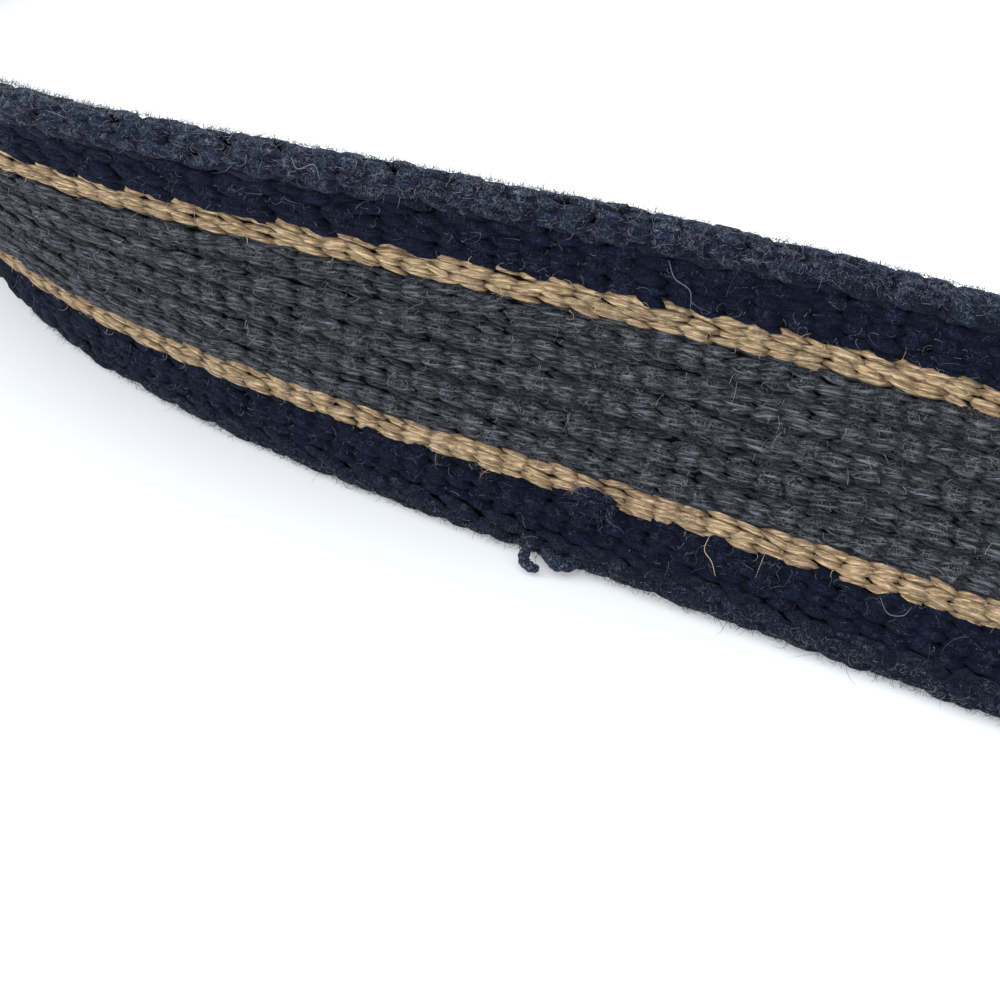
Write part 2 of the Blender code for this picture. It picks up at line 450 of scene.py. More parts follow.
class Surface:
    """A material's nodes, added and joined one by one."""

    def __init__(self, name: str) -> None:
        """Start a material with its shader alone."""
        self.made = bpy.data.materials.new(name)
        self.made.use_nodes = True
        self.nodes = self.made.node_tree.nodes
        self.links = self.made.node_tree.links
        self.shader = self.nodes["Principled BSDF"]

    def set_shader(self, values: dict[str, object]) -> None:
        """Give the shader's own inputs their plain values."""
        for name, value in values.items():
            self.shader.inputs[name].default_value = value

    def add(self, kind: str, **settings: object) -> bpy.types.Node:
        """A new node.

        Args:
            kind: its type's name after ShaderNode.
            **settings: values for its properties.

        Returns:
            The node.
        """
        node = self.nodes.new(f"ShaderNode{kind}")
        for name, value in settings.items():
            setattr(node, name, value)
        return node

    def feed(self, socket: bpy.types.NodeSocket, value: object) -> None:
        """Join another socket to this one, or give it a plain value.

        Args:
            socket: the input.
            value: a socket, a number, a vector or a colour.
        """
        if isinstance(value, bpy.types.NodeSocket):
            self.links.new(value, socket)
        else:
            socket.default_value = value

    def calculate(self, operation: str, *values: object, clamp: bool = False) -> bpy.types.NodeSocket:
        """The result of one sum.

        Args:
            operation: the Math node's operation.
            *values: sockets or numbers, in the order of its inputs.
            clamp: whether the result is held between 0 and 1.

        Returns:
            The result's socket.
        """
        node = self.add("Math", operation=operation, use_clamp=clamp)
        for socket, value in zip(node.inputs, values):
            self.feed(socket, value)
        return node.outputs["Value"]

    def spread(
        self, value: object, low: float, high: float, start: float, end: float
    ) -> bpy.types.NodeSocket:
        """Stretch values to run smoothly from start to end.

        Args:
            value: the socket that they come from.
            low: the value that becomes start.
            high: the value that becomes end.
            start: the first result.
            end: the last result.

        Returns:
            The result's socket.
        """
        node = self.add("MapRange", interpolation_type="SMOOTHSTEP")
        names = ("Value", "From Min", "From Max", "To Min", "To Max")
        for name, given in zip(names, (value, low, high, start, end)):
            self.feed(node.inputs[name], given)
        return node.outputs["Result"]

    def blend(self, factor: object, low: object, high: object) -> bpy.types.NodeSocket:
        """A colour between two colours.

        Args:
            factor: 0 for the first and 1 for the second.
            low: the first colour.
            high: the second colour.

        Returns:
            The mixed colour's socket.
        """
        node = self.add("Mix", data_type="RGBA")
        self.feed(node.inputs["Factor"], factor)
        first, second = (socket for socket in node.inputs if socket.type == "RGBA")
        for socket, colour in ((first, low), (second, high)):
            self.feed(socket, (*colour, 1.0) if isinstance(colour, tuple) else colour)
        return next(socket for socket in node.outputs if socket.type == "RGBA")

    def attribute(self, name: str) -> bpy.types.NodeSocket:
        """The number stored on the piece's points under a name."""
        return self.add("Attribute", attribute_name=name).outputs["Fac"]

    def noise(
        self, vector: bpy.types.NodeSocket, scale: float, detail: float, distortion: float = 0.0
    ) -> bpy.types.NodeSocket:
        """Cloudy noise.

        Args:
            vector: the place that it is read at.
            scale: how fine it is.
            detail: how many finer layers it has.
            distortion: how far it is swirled.

        Returns:
            The noise's socket.
        """
        node = self.add("TexNoise")
        self.feed(node.inputs["Vector"], vector)
        node.inputs["Scale"].default_value = scale
        node.inputs["Detail"].default_value = detail
        node.inputs["Distortion"].default_value = distortion
        return node.outputs["Fac"]

    def turned(
        self, vector: bpy.types.NodeSocket, angle: float, scale: tuple[float, float, float]
    ) -> bpy.types.NodeSocket:
        """A vector turned about its third axis and then stretched.

        Args:
            vector: the vector.
            angle: the turn.
            scale: the stretch along each axis.

        Returns:
            The new vector's socket.
        """
        turn = self.add("Mapping")
        turn.inputs["Rotation"].default_value = (0.0, 0.0, angle)
        self.feed(turn.inputs["Vector"], vector)
        stretch = self.add("Mapping")
        stretch.inputs["Scale"].default_value = scale
        self.feed(stretch.inputs["Vector"], turn.outputs["Vector"])
        return stretch.outputs["Vector"]

    def shifted(self, vector: bpy.types.NodeSocket, steps: tuple[float, float]) -> bpy.types.NodeSocket:
        """A vector moved on by the stitch's own tone and cast, so that no two look alike.

        Args:
            vector: the vector.
            steps: how far a whole unit of tone and of cast move it.

        Returns:
            The new vector's socket.
        """
        join = self.add("CombineXYZ")
        self.feed(join.inputs["X"], self.calculate("MULTIPLY", self.attribute("tone"), steps[0]))
        self.feed(join.inputs["Y"], self.calculate("MULTIPLY", self.attribute("cast"), steps[1]))
        moved = self.add("VectorMath", operation="ADD")
        self.feed(moved.inputs[0], vector)
        self.feed(moved.inputs[1], join.outputs["Vector"])
        return moved.outputs["Vector"]

    def colour(self, colour: bpy.types.NodeSocket) -> None:
        """Colour the surface."""
        self.feed(self.shader.inputs["Base Color"], colour)

    def place(self) -> bpy.types.NodeSocket:
        """The point's place in the piece."""
        return self.add("TexCoord").outputs["Object"]

    def relief(self, height: bpy.types.NodeSocket, depth: float) -> None:
        """Raise and sink the surface by a height.

        Args:
            height: the height's socket.
            depth: what a whole unit of height measures.
        """
        bump = self.add("Bump")
        bump.inputs["Distance"].default_value = depth
        self.feed(bump.inputs["Height"], height)
        self.feed(self.shader.inputs["Normal"], bump.outputs["Normal"])


@dataclass(frozen=True)
class YarnFinish:
    """Dyed cotton yarn: twisted plies, streaks of fibre, loose curly fibres, painted shade in crevices.
    """

    name: str
    shade: tuple[float, float, float]
    light: tuple[float, float, float]
    cast: tuple[float, float, float]
    # crevice is the colour of painted shade: in the stitches' deep parts, between plies and in slits
    crevice: tuple[float, float, float]
    loose: tuple[float, float, float]
    loose_share: float = 0.5
    crevice_share: float = 0.9
    sheen: float = 0.10
    sheen_tint: tuple[float, float, float] = (0.8, 0.85, 1.0)
    ply_count: int = 4
    ply_turn: float = 0.38
    # painted shade: how dark the crevices between plies and the slits between fibres are painted, and
    # where the slits open
    ply_depth: float = 0.35
    slit_depth: float = 0.75
    slit_share: float = 0.47
    slit_fade: float = 0.07
    uv_period: float = 10.0
    grain: tuple[float, float, float] = (15.0, 3.6, 1.0)
    grain_steps: tuple[float, float] = (7.0, 5.0)
    grain_fade: tuple[float, float] = (0.38, 0.62)
    grain_share: float = 0.8
    tone_gain: tuple[float, float] = (0.65, -0.22)
    ply_fade: tuple[float, float] = (0.05, 0.55)
    fibre_lines: tuple[tuple[float, float], ...] = ((1300.0, 0.52), (2100.0, 0.47))
    fibre_width: float = 0.042
    patch_scale: float = 420.0
    patch_fade: tuple[float, float] = (0.36, 0.60)
    patch_least: float = 0.25
    bump: float = 0.00020
    grain_rise: float = 0.35
    fibre_rise: float = 0.5

    def loose_fibres(self, surface: Surface) -> bpy.types.NodeSocket:
        """Thin curly lines in patches.

        Args:
            surface: the material that they are added to.

        Returns:
            A socket that is 1 on a fibre and 0 between them.
        """
        place = surface.place()
        lines = []
        for scale, shift in self.fibre_lines:
            cloud = surface.noise(place, scale, 1.0, 1.2)
            off = surface.calculate("ABSOLUTE", surface.calculate("SUBTRACT", cloud, shift))
            lines.append(surface.spread(off, 0.0, self.fibre_width, 1.0, 0.0))
        cloud = surface.noise(place, self.patch_scale, 2.0)
        patches = surface.spread(cloud, *self.patch_fade, self.patch_least, 1.0)
        return surface.calculate("MULTIPLY", surface.calculate("MAXIMUM", *lines), patches)

    def plies(self, surface: Surface, along: bpy.types.NodeSocket) -> bpy.types.NodeSocket:
        """The twisted plies.

        Args:
            surface: the material that they are added to.
            along: the stitch's own UV map.

        Returns:
            A socket that is 1 on top of a ply and 0 between two.
        """
        around = 2 * math.pi / self.uv_period * self.ply_count
        helix = surface.turned(along, 0.0, (around, around * self.ply_turn, 1.0))
        wave = surface.add("TexWave", wave_type="BANDS", bands_direction="DIAGONAL")
        for name, value in (("Scale", 1.0), ("Distortion", 1.6), ("Detail", 2.0)):
            wave.inputs[name].default_value = value
        surface.feed(wave.inputs["Vector"], helix)
        return wave.outputs["Fac"]

    def material(self) -> bpy.types.Material:
        """The yarn's material, on the stitch's own UV map, tone, cast and painted shade of its depth."""
        surface = Surface(self.name)
        surface.set_shader(
            {
                "Roughness": 0.95,
                "Specular IOR Level": 0.08,
                "Sheen Weight": self.sheen,
                "Sheen Roughness": 0.6,
                "Sheen Tint": (*self.sheen_tint, 1.0),
            }
        )
        along = surface.add("UVMap").outputs["UV"]
        ply = self.plies(surface, along)
        twist = -math.atan(self.ply_turn)
        grain = surface.turned(surface.shifted(along, self.grain_steps), twist, self.grain)
        fine = surface.spread(surface.noise(grain, 1.0, 3.0, 0.5), *self.grain_fade, 0.0, 1.0)
        # painted shade: slits where the fibres part are darkened
        gaps = surface.noise(grain, 0.8, 1.0, 0.3)
        open_gap = self.slit_share - self.slit_fade
        slit = surface.spread(gaps, open_gap, self.slit_share, self.slit_depth, 0.0)
        loose = self.loose_fibres(surface)

        # the stitch's tone, lowered by the painted groove shade, and the fibre grain mix the yarn's dark
        # and pale colours
        tone = surface.calculate("MULTIPLY_ADD", surface.attribute("tone"), *self.tone_gain)
        lit = surface.calculate("MULTIPLY_ADD", fine, self.grain_share, tone, clamp=True)
        body = surface.blend(surface.attribute("cast"), self.light, self.cast)
        colour = surface.blend(lit, self.shade, body)
        # painted shade between the twisted plies and in the slits
        between = surface.spread(ply, *self.ply_fade, self.ply_depth, 0.0)
        colour = surface.blend(surface.calculate("MAXIMUM", between, slit), colour, self.crevice)
        shown = surface.calculate("MULTIPLY", loose, self.loose_share)
        colour = surface.blend(shown, colour, self.loose)
        # painted shade: the deep parts of stitches and their sides toward grooves go toward the crevice
        # colour
        sunk = surface.calculate("MULTIPLY", surface.attribute("sunk"), self.crevice_share)
        surface.colour(surface.blend(sunk, colour, self.crevice))

        height = surface.calculate("MULTIPLY_ADD", fine, self.grain_rise, ply)
        height = surface.calculate("MULTIPLY_ADD", loose, self.fibre_rise, height)
        surface.relief(height, self.bump)
        return surface.made


@dataclass(frozen=True)
class FibreFinish:
    """Single loose fibres, pale where the light passes through them."""

    name: str
    dark: tuple[float, float, float]
    pale: tuple[float, float, float]
    cloud_scale: float = 900.0
    cloud_share: float = 0.3
    fade: tuple[float, float] = (0.15, 1.15)

    def material(self) -> bpy.types.Material:
        """The fibres' material, from dark to pale by their tone."""
        surface = Surface(self.name)
        surface.set_shader({"Roughness": 0.8, "Specular IOR Level": 0.2, "Sheen Weight": 0.3})
        cloud = surface.noise(surface.place(), self.cloud_scale, 1.0)
        mixed = surface.calculate("MULTIPLY_ADD", cloud, self.cloud_share, surface.attribute("tone"))
        share = surface.spread(mixed, *self.fade, 0.0, 1.0)
        surface.colour(surface.blend(share, self.dark, self.pale))
        return surface.made


@dataclass(frozen=True)
class CoreFinish:
    """Dark yarn in shadow, browner behind the tan ribs."""

    name: str = "core_yarn"
    dark: tuple[float, float, float] = (0.0026, 0.0028, 0.0040)
    brown: tuple[float, float, float] = (0.012, 0.0075, 0.0050)

    def material(self) -> bpy.types.Material:
        """The core's material."""
        surface = Surface(self.name)
        surface.set_shader({"Roughness": 1.0, "Specular IOR Level": 0.05})
        surface.colour(surface.blend(surface.attribute("tan_share"), self.dark, self.brown))
        return surface.made


@dataclass(frozen=True)
class MetalFinish:
    """Brushed plate: fine streaks along the buckle and slightly worn patches."""

    name: str = "brushed_plate"
    colour: tuple[float, float, float] = (0.34, 0.34, 0.35)
    worn: tuple[float, float, float] = (0.25, 0.245, 0.24)
    brush: tuple[float, float, float] = (60.0, 3500.0, 3500.0)
    patch_scale: float = 90.0
    gloss: tuple[float, float] = (0.28, 0.46)
    bump: float = 0.00002

    def material(self) -> bpy.types.Material:
        """The brushed plate's material."""
        surface = Surface(self.name)
        surface.set_shader({"Metallic": 1.0})
        place = surface.place()
        streak = surface.noise(surface.turned(place, 0.0, self.brush), 1.0, 2.0)
        cloud = surface.noise(place, self.patch_scale, 2.0)
        surface.colour(surface.blend(cloud, self.colour, self.worn))
        rough = surface.add("MapRange")
        for name, value in zip(("To Min", "To Max"), self.gloss):
            rough.inputs[name].default_value = value
        surface.feed(rough.inputs["Value"], streak)
        surface.feed(surface.shader.inputs["Roughness"], rough.outputs["Result"])
        surface.relief(streak, self.bump)
        return surface.made


@dataclass(frozen=True)
class FloorFinish:
    """The plain white surface, matt, with a faint glow as a brightly lit one has in a picture."""

    name: str = "white_surface"
    colour: tuple[float, float, float] = (0.66, 0.675, 0.695)
    glow: float = 0.24

    def material(self) -> bpy.types.Material:
        """The surface's material."""
        surface = Surface(self.name)
        surface.set_shader(
            {
                "Base Color": (*self.colour, 1.0),
                "Roughness": 0.8,
                "Specular IOR Level": 0.1,
                "Emission Color": (1.0, 1.0, 1.0, 1.0),
                "Emission Strength": self.glow,
            }
        )
        return surface.made


YARNS = {
    Dye.NAVY: YarnFinish(
        "navy_yarn",
        shade=(0.0022, 0.0034, 0.0090),
        light=(0.0058, 0.0094, 0.0250),
        cast=(0.0058, 0.0080, 0.0240),
        crevice=(0.0012, 0.0016, 0.0038),
        loose=(0.040, 0.054, 0.096),
        loose_share=0.65,
        sheen=0.04,
        sheen_tint=(0.25, 0.35, 0.75),
    ),
    Dye.EDGE: YarnFinish(
        "edge_yarn",
        shade=(0.0042, 0.0066, 0.0165),
        light=(0.0145, 0.0220, 0.0480),
        cast=(0.0135, 0.0220, 0.0430),
        crevice=(0.0020, 0.0029, 0.0074),
        loose=(0.155, 0.175, 0.220),
        loose_share=0.80,
        sheen=0.05,
        sheen_tint=(0.45, 0.60, 0.90),
    ),
    Dye.TAN: YarnFinish(
        "tan_yarn",
        shade=(0.41, 0.26, 0.135),
        light=(0.87, 0.625, 0.370),
        cast=(0.85, 0.655, 0.400),
        crevice=(0.055, 0.027, 0.012),
        loose=(0.74, 0.58, 0.38),
        loose_share=0.40,
        crevice_share=0.70,
        ply_depth=0.40,
        slit_depth=0.62,
        slit_share=0.50,
        sheen_tint=(1.0, 0.85, 0.6),
    ),
    Dye.GREY: YarnFinish(
        "grey_yarn",
        shade=(0.0125, 0.0130, 0.0180),
        light=(0.196, 0.187, 0.219),
        cast=(0.155, 0.184, 0.190),
        crevice=(0.0020, 0.0023, 0.0044),
        loose=(0.230, 0.234, 0.260),
        loose_share=0.60,
        crevice_share=1.0,
        ply_depth=0.75,
        slit_depth=1.0,
        slit_share=0.51,
    ),
}
FIBRES = {
    Dye.NAVY: FibreFinish("navy_fibres", (0.012, 0.016, 0.030), (0.110, 0.125, 0.170)),
    Dye.EDGE: FibreFinish("edge_fibres", (0.014, 0.019, 0.028), (0.150, 0.180, 0.220)),
    Dye.TAN: FibreFinish("tan_fibres", (0.42, 0.28, 0.14), (0.80, 0.64, 0.44)),
    Dye.GREY: FibreFinish("grey_fibres", (0.050, 0.052, 0.062), (0.26, 0.27, 0.30)),
}
DYE_SEEDS = {Dye.NAVY: 11, Dye.EDGE: 23, Dye.TAN: 37, Dye.GREY: 53}
SEEDS_OF_A_DYE = 1000


class SewnRow(NamedTuple):
    """A row of stitches with the seed of its unevenness and the numbers of its columns."""

    seed: int
    row: Row
    columns: np.ndarray


class Habit(NamedTuple):
    """How the stitches of a dye lie: their slant and sway, and how far rows and stitches drift.

    The border shade is painted shade: how dark the stitches at a rib's borders are painted on the
    side of the groove, and the row shade is the share of that painted shade that the whole stitch has.
    """

    slant: float
    sway: float
    row_drift: float
    drift: float
    border_shade: float = 0.0
    row_shade: float = 0.0


# border_shade and row_shade are painted shade: of a stitch's side toward the groove, and of its whole
# tone
HABITS = {
    Dye.NAVY: Habit(math.radians(-4), math.radians(5), 0.00030, 0.00022, 0.5, 0.5),
    Dye.EDGE: Habit(math.radians(-9), math.radians(6), 0.00050, 0.00030, 0.9, 1.0),
    Dye.TAN: Habit(math.radians(-7), math.radians(5), 0.00020, 0.00022),
    Dye.GREY: Habit(math.radians(-4), math.radians(4), 0.00022, 0.00020, 1.0, 0.25),
}


@dataclass
class Weave:
    """The stitches: lenses of twisted yarn in columns that step up and down by turns.

    They are fine along the near stretch, which is seen from close by, and plain elsewhere and
    on rows that face away from it.
    """

    path: StrapPath
    section: WebSection
    repeat: float = 0.00552
    first_column: float = -0.08461
    first_height: float = 0.0275
    column_skew: float = 0.061
    step_share: float = 0.25
    length_share: float = 1.42
    width_share: float = 1.62
    height_share: float = 1.15
    slimming: float = 0.25
    unevenness: float = 0.10
    own_tone: float = 0.55
    own_cast: float = 0.40
    border_sharpness: float = 2.0
    # painted crevice shade darkens each stitch's lens below these heights, shade between stitches
    # together with the dark yarn under them
    level_drift: float = 0.00008
    sunk_from: float = 0.16
    sunk_to: float = 0.44
    near: tuple[float, float] = NEAR_STRETCH
    end_margin: float = 0.0010
    away_from: float = -0.5
    # how unevenly the painted groove shade falls from stitch to stitch
    groove_shade_spread: tuple[float, float] = (0.7, 1.0)
    materials: dict[Dye, bpy.types.Material] = field(default_factory=dict)

    def model_stitch(self, detail: Detail) -> bpy.types.Object:
        """One stitch, a lens one unit long with its poles at its two ends.

        Args:
            detail: how finely it is modelled.

        Returns:
            The stitch at the origin, with the yarn along X.
        """
        segments, rings = detail.value
        deselect_all()
        bpy.ops.mesh.primitive_uv_sphere_add(segments=segments, ring_count=rings, radius=0.5)
        stitch = bpy.context.object
        bpy.ops.object.mode_set(mode="EDIT")
        bpy.ops.mesh.select_all(action="SELECT")
        bpy.ops.transform.rotate(value=math.pi / 2, orient_axis="Y", center_override=(0, 0, 0))
        bpy.ops.object.mode_set(mode="OBJECT")
        bpy.ops.object.shade_smooth()
        points = read_points(stitch)
        slim = 1 - self.slimming * (2 * np.abs(points[:, 0])) ** 3
        points[:, 1] *= slim
        points[:, 2] *= slim
        write_points(stitch, points)
        return stitch

    def copies(self, detail: Detail, count: int) -> tuple[bpy.types.Object, np.ndarray]:
        """A mesh of many stitches, and the points of one of them.

        Args:
            detail: how finely each is modelled.
            count: how many there are.

        Returns:
            The joined piece and one stitch's points.
        """
        stitch = self.model_stitch(detail)
        points = read_points(stitch)
        apply_modifier(stitch, "ARRAY", count=count, use_merge_vertices=False)
        return stitch, points

    def columns(self, low: float, high: float) -> np.ndarray:
        """Numbers of the stitch columns between two places.

        Args:
            low: the first place.
            high: the last place.

        Returns:
            The numbers in their order.
        """
        pitch = self.repeat / 2
        first = math.ceil((low - self.first_column) / pitch)
        last = math.floor((high - self.first_column) / pitch)
        return np.arange(first, last + 1)

    def place_row(self, sewn: SewnRow, lens: np.ndarray) -> tuple[np.ndarray, np.ndarray]:
        """Points and tones of one row of stitches in the flat band.

        Args:
            sewn: the row with its seed and its columns.
            lens: one stitch's points.

        Returns:
            An array of stitches by points by 3, and one like it of tone, cast and painted shade.
        """
        seed, row, columns = sewn
        uneven = np.random.default_rng(seed)
        count = len(columns)
        pitch = self.repeat / 2
        odd = columns % 2
        shift = row.step * row.spacing * self.step_share * np.where(odd == 0, -1.0, 1.0)
        habit = HABITS[row.dye]
        length = pitch * self.length_share * uneven.normal(1.0, self.unevenness, count)
        width = row.spacing * self.width_share * uneven.normal(1.0, self.unevenness, count)
        height = row.spacing * self.height_share * uneven.normal(1.0, self.unevenness, count)
        slope = np.tan(uneven.normal(habit.slant, habit.sway, count))
        skew = self.column_skew * (row.height - self.first_height)
        along = self.first_column + pitch * columns + skew
        along = along + uneven.normal(0.0, habit.row_drift) + uneven.normal(0.0, habit.drift, count)
        x = lens[None, :, 0] * length[:, None]
        y = lens[None, :, 1] * width[:, None] + x * slope[:, None]
        y = y + (shift + uneven.normal(0.0, self.level_drift, count))[:, None]
        z = lens[None, :, 2] * height[:, None] + uneven.normal(0.0, self.level_drift, count)[:, None]
        turn_cos, turn_sin = math.cos(row.facing), math.sin(row.facing)
        flat = np.stack(
            [
                along[:, None] + x,
                row.height + y * turn_cos + z * turn_sin,
                row.depth - y * turn_sin + z * turn_cos,
            ],
            2,
        )
        yarn = uneven.uniform(0.0, 1.0, (2, 2))
        own, shared = uneven.uniform(0.0, 1.0, count), yarn[0][odd]
        tone = (1 - self.own_tone) * shared + self.own_tone * own
        own, shared = uneven.uniform(0.0, 1.0, count), yarn[1][odd]
        cast = (1 - self.own_cast) * shared + self.own_cast * own
        # painted crevice shade: the deep sides of each stitch are darkened, shade between stitches
        # together with the dark yarn under them
        sunk = 1 - smooth_step((lens[:, 2] - self.sunk_from) / (self.sunk_to - self.sunk_from))
        # painted groove shade: a stitch at a rib's border is darkened on its side toward the groove, and
        # a share of it over its whole tone
        shade = habit.border_shade * abs(row.border)
        tone = tone * (1 - habit.row_shade * shade)
        toward = math.copysign(1.0, row.border * turn_cos)
        half = smooth_step(0.5 + self.border_sharpness * toward * lens[:, 1])
        half = half + habit.row_shade * (1 - half)
        painted_groove_shade = shade * uneven.uniform(*self.groove_shade_spread, count)[:, None] * half[None, :]
        marks = [np.repeat(mark[:, None], len(lens), 1) for mark in (tone, cast)]
        marks.append(np.maximum(sunk[None, :], painted_groove_shade))
        return flat, np.stack(marks, 2)

    def sew(self, name: str, dye: Dye, detail: Detail, rows: list[SewnRow]) -> bpy.types.Object:
        """Make one piece of stitches and lay it along the strap.

        Args:
            name: the piece's name.
            dye: its yarn.
            detail: how finely each stitch is modelled.
            rows: the rows that it is made of.

        Returns:
            The finished piece.
        """
        total = sum(len(sewn.columns) for sewn in rows)
        piece, lens = self.copies(detail, total)
        placed = [self.place_row(sewn, lens) for sewn in rows]
        flat = np.concatenate([points for points, _ in placed]).reshape(-1, 3)
        write_points(piece, self.path.lay(flat))
        marks = np.concatenate([mark for _, mark in placed]).reshape(-1, 3)
        # sunk carries the painted crevice and groove shade
        for index, label in enumerate(("tone", "cast", "sunk")):
            write_attribute(piece, label, marks[:, index])
        name_piece(piece, name, self.materials[dye])
        return piece

    def build(self) -> list[bpy.types.Object]:
        """Every piece of the weave, by dye, side and detail."""
        self.materials = {dye: yarn.material() for dye, yarn in YARNS.items()}
        near = self.columns(*self.near)
        every = self.columns(self.path.start + self.repeat / 4, self.path.end - self.end_margin)
        far = every[(every < near[0]) | (every > near[-1])]
        groups: dict[tuple[Dye, Side, Detail], list[SewnRow]] = {}
        for index, row in enumerate(self.section.rows()):
            seed = SEEDS_OF_A_DYE * DYE_SEEDS[row.dye] + index
            faces_away = row.side is Side.INNER or math.cos(row.facing) < self.away_from
            parts = [(Detail.FAR, every)] if faces_away else [(Detail.NEAR, near), (Detail.FAR, far)]
            for detail, columns in parts:
                group = groups.setdefault((row.dye, row.side, detail), [])
                group.append(SewnRow(seed, row, columns))
        pieces = []
        for (dye, side, detail), rows in groups.items():
            name = f"{dye.value}_{side.value}_{detail.name.lower()}"
            pieces.append(self.sew(name, dye, detail, rows))
        return pieces


@dataclass
class Core:
    """The body of the strap under its stitches, seen only in the gaps between them."""

    path: StrapPath
    section: WebSection
    inset: float = 0.00110
    round_points: int = 12
    flat_points: int = 20
    station: float = 0.0055
    end_inset: float = 0.0018
    smooth_to: float = math.radians(50)

    def outline(self) -> list[tuple[float, float]]:
        """Height and depth of the points round its section, from the upper round edge on."""
        radius = self.section.edge_roll / 2
        thick = radius - self.inset
        outline = []
        for side, centre in ((1, self.section.web_width - radius), (-1, radius)):
            for index in range(self.round_points):
                angle = math.pi * (index + 0.5) / self.round_points - (0 if side > 0 else -math.pi)
                outline.append((centre + thick * math.sin(angle), thick * math.cos(angle)))
            run = np.linspace(self.section.web_width - radius, radius, self.flat_points + 2)[1:-1]
            run = run if side > 0 else run[::-1]
            outline.extend((height, -side * thick) for height in run)
        return outline

    def model_bar(self) -> bpy.types.Object:
        """The straight bar: one length of it, repeated and closed at its ends."""
        deselect_all()
        around = 2 * (self.round_points + self.flat_points)
        bpy.ops.mesh.primitive_circle_add(vertices=around, radius=1.0)
        core = bpy.context.object
        outline = self.outline()
        write_points(core, np.array([(self.path.start, height, depth) for height, depth in outline]))
        length = self.path.end - self.end_inset - self.path.start
        total = math.ceil(length / self.station)
        step = length / total
        bpy.ops.object.mode_set(mode="EDIT")
        bpy.ops.mesh.select_all(action="SELECT")
        bpy.ops.mesh.extrude_region_move(TRANSFORM_OT_translate={"value": (step, 0, 0)})
        bpy.ops.object.mode_set(mode="OBJECT")
        apply_modifier(
            core,
            "ARRAY",
            count=total,
            use_relative_offset=False,
            use_constant_offset=True,
            constant_offset_displace=(step, 0, 0),
            use_merge_vertices=True,
            merge_threshold=0.00001,
        )
        bpy.ops.object.mode_set(mode="EDIT")
        bpy.ops.mesh.select_mode(type="EDGE")
        close_ends()
        bpy.ops.object.mode_set(mode="OBJECT")
        return core

    def build(self) -> bpy.types.Object:
        """The core, a long bar with round edges, laid along the path."""
        core = self.model_bar()
        flat = read_points(core)
        write_points(core, self.path.lay(flat))
        select_only(core)
        bpy.ops.object.shade_smooth_by_angle(angle=self.smooth_to)
        low_tan = self.section.edge_roll + self.section.navy_rib
        from_edge = np.minimum(flat[:, 1], self.section.web_width - flat[:, 1])
        inside = (from_edge > low_tan) & (from_edge < low_tan + self.section.tan_rib)
        write_attribute(core, "tan_share", inside.astype(float))
        name_piece(core, "strap_core", CoreFinish().material())
        return core


@dataclass
class BuckleSleeve:
    """The plain sleeve buckle, a folded plate with softly rounded corners."""

    wall: float = BUCKLE_WALL
    corner: float = 0.0024
    corner_steps: int = 5
    rim: float = 0.00035
    rim_steps: int = 3
    smooth_to: float = math.radians(40)

    def open_box(self, size: Vector, middle: Vector) -> bpy.types.Object:
        """A box without its two end faces.

        Args:
            size: along each axis.
            middle: its centre.

        Returns:
            The thin shell.
        """
        deselect_all()
        bpy.ops.mesh.primitive_cube_add(size=1.0)
        sleeve = bpy.context.object
        bpy.ops.object.mode_set(mode="EDIT")
        bpy.ops.mesh.select_all(action="SELECT")
        bpy.ops.transform.resize(value=size, center_override=(0, 0, 0))
        bpy.ops.transform.translate(value=middle)
        bpy.ops.mesh.select_mode(type="FACE")
        bpy.ops.mesh.select_all(action="DESELECT")
        bpy.ops.object.mode_set(mode="OBJECT")
        for face in sleeve.data.polygons:
            face.select = abs(face.normal.x) > 0.9
        bpy.ops.object.mode_set(mode="EDIT")
        bpy.ops.mesh.delete(type="FACE")
        bpy.ops.object.mode_set(mode="OBJECT")
        return sleeve

    def build(self) -> bpy.types.Object:
        """The sleeve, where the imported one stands."""
        low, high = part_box(BUCKLE_NODE)
        size = high - low
        sleeve = self.open_box(size, (low + high) / 2)
        bpy.ops.object.mode_set(mode="EDIT")
        bpy.ops.mesh.select_mode(type="EDGE")
        bpy.ops.mesh.select_all(action="DESELECT")
        bpy.ops.object.mode_set(mode="OBJECT")
        for edge in sleeve.data.edges:
            ends = [sleeve.data.vertices[index].co for index in edge.vertices]
            edge.select = abs(ends[0].x - ends[1].x) > size.x / 2
        bpy.ops.object.mode_set(mode="EDIT")
        bpy.ops.mesh.bevel(offset=self.corner, segments=self.corner_steps, affect="EDGES")
        bpy.ops.mesh.select_all(action="SELECT")
        bpy.ops.mesh.normals_make_consistent(inside=False)
        bpy.ops.object.mode_set(mode="OBJECT")
        apply_modifier(sleeve, "SOLIDIFY", thickness=self.wall, offset=-1.0, use_even_offset=True)
        apply_modifier(sleeve, "BEVEL", width=self.rim, segments=self.rim_steps, limit_method="ANGLE")
        select_only(sleeve)
        bpy.ops.object.shade_smooth_by_angle(angle=self.smooth_to)
        name_piece(sleeve, "buckle_sleeve", MetalFinish().material())
        return sleeve


class Lengths(NamedTuple):
    """How long fibres are: a least length, and an uneven rest with its shape and scale."""

    least: float
    shape: float
    scale: float

    def draw(self, uneven: np.random.Generator, count: int) -> np.ndarray:
        """That many lengths."""
        return self.least + uneven.gamma(self.shape, self.scale, count)


class Roots(NamedTuple):
    """Where fibres grow: rows of place, height and depth on the flat band, and how each faces."""

    spots: np.ndarray
    facing: np.ndarray


class RollFuzz(NamedTuple):
    """The near fibres of one part of an edge roll: between which angles, how many, how upright."""

    name: str
    upper: bool
    sweep: tuple[float, float]
    count: int
    seed: int
    lie: float


class FaceFuzz(NamedTuple):
    """The near fibres of one band of the outer face: between which heights and how many."""

    name: str
    dye: Dye
    low: float
    high: float
    count: int
    seed: int


